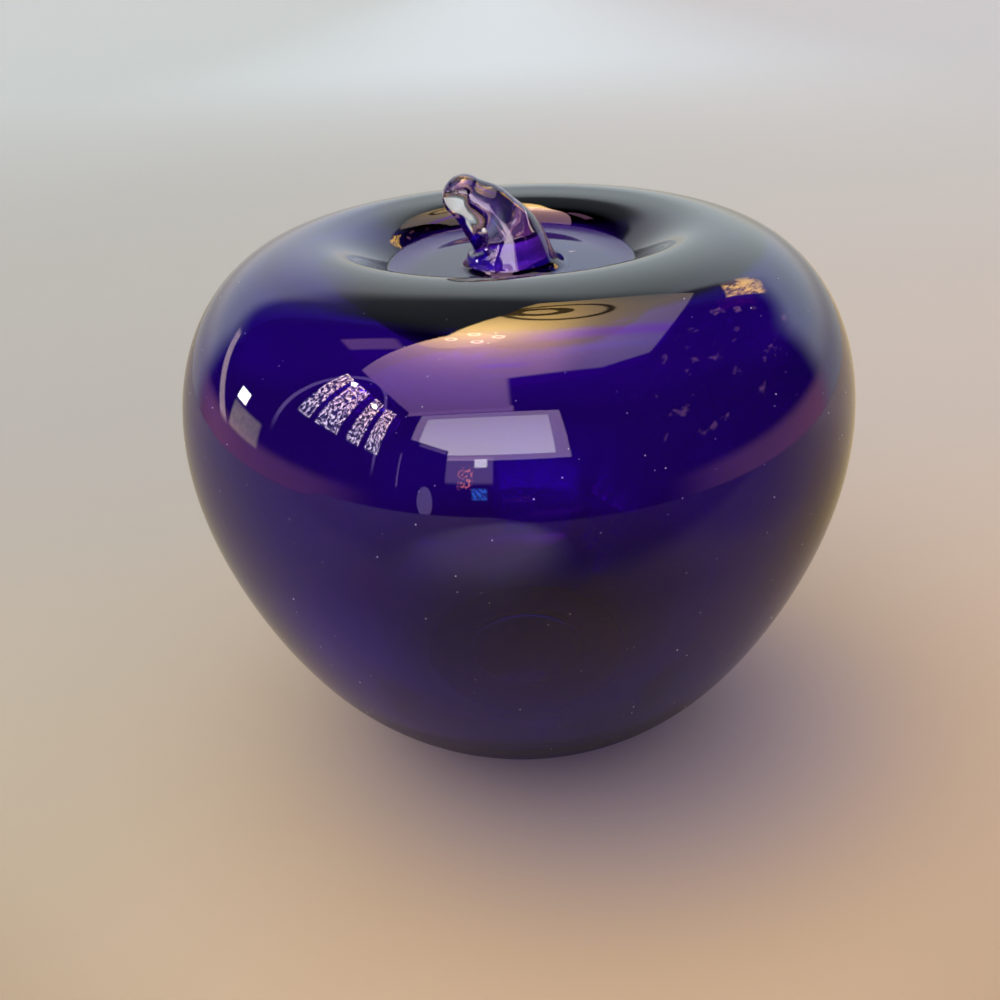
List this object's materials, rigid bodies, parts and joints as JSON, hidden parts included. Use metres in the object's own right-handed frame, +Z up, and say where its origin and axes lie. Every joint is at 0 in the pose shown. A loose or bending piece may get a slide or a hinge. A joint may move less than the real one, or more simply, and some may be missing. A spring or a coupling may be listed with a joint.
{
  "type": "art glass apple",
  "caption": "Hollow blown-glass apple, cobalt over clear, with a rolled lip, a clear pool in the dimple and a leaning drawn stem, standing on a ground ring.",
  "frame": {"origin": "middle of the ground ring that the apple stands on, in the plane of the table", "axes": "+Z up along the apple's axis; the stem leans towards -X; -Y faces the viewer"},
  "size_m": [0.098, 0.098, 0.086],
  "materials": {
    "cobalt_glass": "fire-polished cobalt violet glass, deep and transparent",
    "gather_glass": "clear glass, inside of the bubble fire-polished",
    "seal_glass": "clear poured glass with a few seeds",
    "stem_glass": "clear drawn glass with a stretched air line"
  },
  "bodies": {
    "root": {"cobalt_overlay": "cobalt_glass", "clear_gather": "gather_glass", "dimple_seal": "seal_glass", "stem": "stem_glass"}
  },
  "joints": []
}
